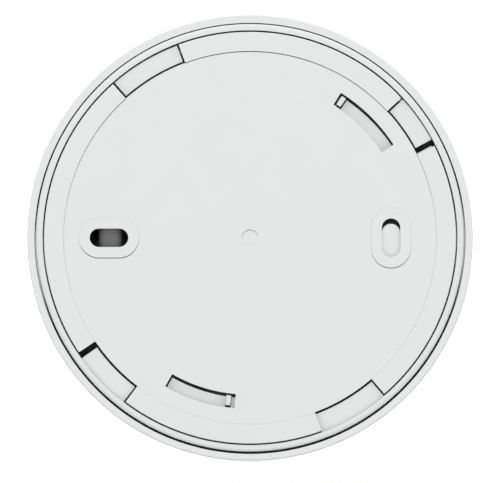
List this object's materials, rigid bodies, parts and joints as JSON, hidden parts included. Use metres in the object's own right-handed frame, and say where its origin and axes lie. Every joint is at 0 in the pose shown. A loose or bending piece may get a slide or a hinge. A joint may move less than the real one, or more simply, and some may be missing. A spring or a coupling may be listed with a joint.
{
  "type": "smoke detector",
  "caption": "Round ceiling smoke alarm: slotted dome over an optical chamber, test button, sounder grille, and a twist-lock mounting plate with slotted screw holes.",
  "frame": {"origin": "on the alarm's axis, in the plane of the plate's rim and boss faces that touch the ceiling", "axes": "+Z towards the ceiling, along the axis of the twist lock; +X through the plate's upright screw slot and -X through its lengthwise one; the alarm hangs towards -Z"},
  "size_m": [0.095, 0.095, 0.044],
  "materials": {
    "plate_plastic": "fine satin white moulding",
    "rear_plastic": "fine satin white moulding",
    "front_plastic": "fine satin white moulding",
    "button_plastic": "fine satin white moulding",
    "chamber_plastic": "matt black moulding",
    "black_plastic": "satin black moulding",
    "sleeve_film": "glossy black shrink film",
    "cell_metal": "nickel-plated steel",
    "contact_metal": "nickel-plated spring strip",
    "spring_wire": "nickel-plated spring wire",
    "screw_steel": "zinc-plated steel",
    "screen_metal": "etched stainless sheet",
    "board_laminate": "green solder mask",
    "chip_epoxy": "matt black epoxy",
    "ferrite": "dull grey ferrite",
    "capacitor_can": "sleeved aluminium can",
    "brass": "bright brass sheet",
    "ceramic": "fired ceramic with a silver face",
    "clear_plastic": "clear polished moulding",
    "infrared_plastic": "dark infrared-pass epoxy",
    "lamp_plastic": "diffused epoxy"
  },
  "bodies": {
    "plate": {"mounting_plate": "plate_plastic"},
    "alarm": {"rear_cover": "rear_plastic", "front_cover": "front_plastic", "cover_screw_1": "screw_steel", "cover_screw_2": "screw_steel", "cover_screw_3": "screw_steel", "cover_screw_4": "screw_steel", "cell_can": "cell_metal", "cell_sleeve": "sleeve_film", "contact_positive": "contact_metal", "contact_negative": "contact_metal", "cell_spring": "spring_wire", "circuit_board": "board_laminate", "board_screw_1": "screw_steel", "board_screw_2": "screw_steel", "board_screw_3": "screw_steel", "microcontroller": "chip_epoxy", "boost_inductor": "ferrite", "storage_capacitor": "capacitor_can", "status_lamp": "lamp_plastic", "light_pipe": "clear_plastic", "switch_body": "black_plastic", "chamber_base": "chamber_plastic", "chamber_labyrinth": "chamber_plastic", "infrared_emitter": "clear_plastic", "light_receiver": "infrared_plastic", "insect_screen": "screen_metal", "sounder_cup": "black_plastic", "piezo_plate": "brass", "piezo_ceramic": "ceramic", "sounder_ring": "black_plastic", "sounder_pin_1": "brass", "sounder_pin_2": "brass"},
    "button": {"test_button": "button_plastic"},
    "plunger": {"switch_plunger": "black_plastic"}
  },
  "joints": [
    {"name": "alarm_twist", "type": "hinge", "parent": "plate", "child": "alarm", "pos_m": [0, 0, 0], "axis": [0, 0, -1], "range_deg": [0, 20]},
    {"name": "button_press", "type": "slide", "parent": "alarm", "child": "button", "axis": [0, 0, 1], "range_m": [0, 0.0006], "stiffness_N_per_m": 600, "springref_m": -0.001},
    {"name": "plunger_press", "type": "slide", "parent": "alarm", "child": "plunger", "axis": [0, 0, 1], "range_m": [0, 0.0005]}
  ],
  "couplings": [
    {"joint": "plunger_press", "follows": "button_press", "ratio": 0.55}
  ]
}
